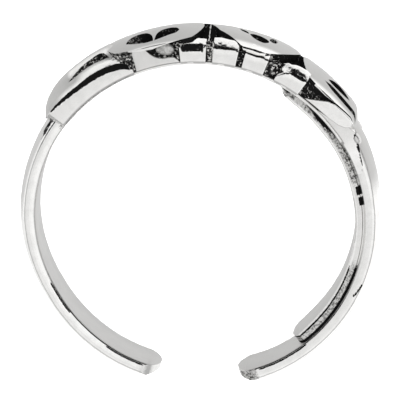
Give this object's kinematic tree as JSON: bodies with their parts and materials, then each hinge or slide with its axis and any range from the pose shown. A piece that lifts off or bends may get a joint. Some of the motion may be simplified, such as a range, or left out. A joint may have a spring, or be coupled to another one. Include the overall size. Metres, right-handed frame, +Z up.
{
  "type": "toe ring",
  "caption": "Open, adjustable silver toe ring with a raised row of pointed leaves and side bars on its front, lying on its side.",
  "frame": {"origin": "on the ground plane, under the middle of the ring's outline as it lies on its side", "axes": "+Z up, along the ring's axis but for the resting tilt of 1.8 degrees; +Y towards the decorated front; the open gap faces -Y"},
  "size_m": [0.0166, 0.017, 0.0031],
  "materials": {
    "silver": "polished sterling silver, blackened in the recesses"
  },
  "bodies": {
    "root": {"toe_ring": "silver"}
  },
  "joints": []
}
